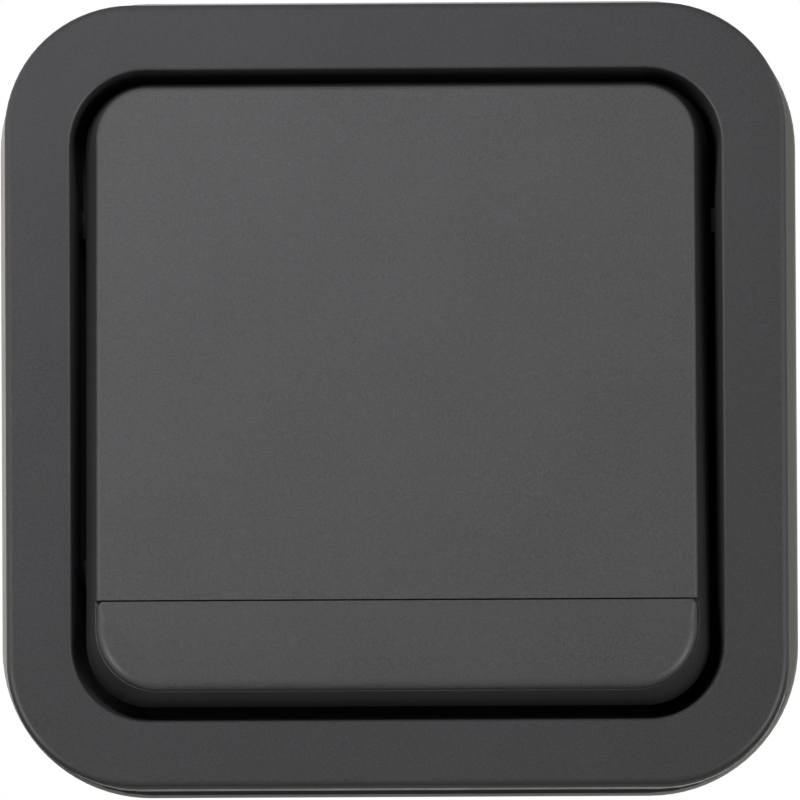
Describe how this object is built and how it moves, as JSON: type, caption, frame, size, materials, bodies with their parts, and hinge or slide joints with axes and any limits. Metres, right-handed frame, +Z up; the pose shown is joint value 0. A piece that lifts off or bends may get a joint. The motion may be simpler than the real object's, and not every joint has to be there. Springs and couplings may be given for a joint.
{
  "type": "outdoor weatherproof rocker switch",
  "caption": "Wall-mounted weatherproof switch: a deep square box with a cover frame and one large rocker that works a changeover mechanism through a rubber boot.",
  "frame": {"origin": "middle of the box's flat back face, on the wall", "axes": "+Y into the wall, -Y out of the rocker's face, +Z up, +X to the right seen from the front"},
  "size_m": [0.0802, 0.0552, 0.0802],
  "materials": {
    "box_plastic": "lighter grey moulded plastic with a fine matt texture",
    "housing_plastic": "dark grey moulded plastic with a fine matt texture",
    "rocker_plastic": "dark grey moulded plastic with a fine matt texture",
    "strip_plastic": "dark grey moulded plastic, a little smoother",
    "seal_rubber": "black moulded rubber",
    "clamp_plastic": "black moulded plastic",
    "mechanism_plastic": "pale grey moulded plastic",
    "actuator_plastic": "white bearing plastic",
    "screw_steel": "zinc-plated steel",
    "spring_steel": "drawn spring wire",
    "terminal_brass": "stamped brass",
    "contact_silver": "silver contact metal, satin"
  },
  "bodies": {
    "housing": {"back_box": "box_plastic", "box_gasket": "seal_rubber", "cover_frame": "housing_plastic", "cover_screws": "screw_steel", "screw_seals": "seal_rubber", "top_grommet": "seal_rubber", "bottom_grommet": "seal_rubber", "membrane": "seal_rubber", "membrane_clamp": "clamp_plastic", "mechanism_plate": "mechanism_plastic", "mechanism_screws": "screw_steel", "mechanism_base": "mechanism_plastic", "common_terminal": "terminal_brass", "terminal_one": "terminal_brass", "terminal_two": "terminal_brass", "fixed_contacts": "contact_silver", "terminal_clamps": "terminal_brass", "terminal_screws": "screw_steel"},
    "rocker": {"rocker": "rocker_plastic", "rocker_strip": "strip_plastic"},
    "actuator": {"actuator": "actuator_plastic", "plunger_spring": "spring_steel"},
    "plunger": {"plunger": "actuator_plastic"},
    "contact_blade": {"contact_blade": "terminal_brass", "blade_contacts": "contact_silver"}
  },
  "joints": [
    {"name": "rocker_tilt", "type": "hinge", "parent": "housing", "child": "rocker", "pos_m": [0, -0.0435, 0], "axis": [1, 0, 0], "range_deg": [0, 9], "deforming": ["membrane"]},
    {"name": "actuator_tilt", "type": "hinge", "parent": "housing", "child": "actuator", "pos_m": [0, -0.031, 0], "axis": [1, 0, 0], "range_deg": [0, 9]},
    {"name": "plunger_slide", "type": "slide", "parent": "actuator", "child": "plunger", "axis": [0, -0.9969, 0.0785], "range_m": [0, 0.0008], "stiffness_N_per_m": 300, "springref_m": -0.004, "deforming": ["plunger_spring"]},
    {"name": "blade_rock", "type": "hinge", "parent": "housing", "child": "contact_blade", "pos_m": [0, -0.01957, 0], "axis": [1, 0, 0], "range_deg": [-9, 0]}
  ],
  "couplings": [
    {"joint": "actuator_tilt", "follows": "rocker_tilt", "ratio": 1},
    {"joint": "blade_rock", "follows": "rocker_tilt", "ratio": -1}
  ]
}
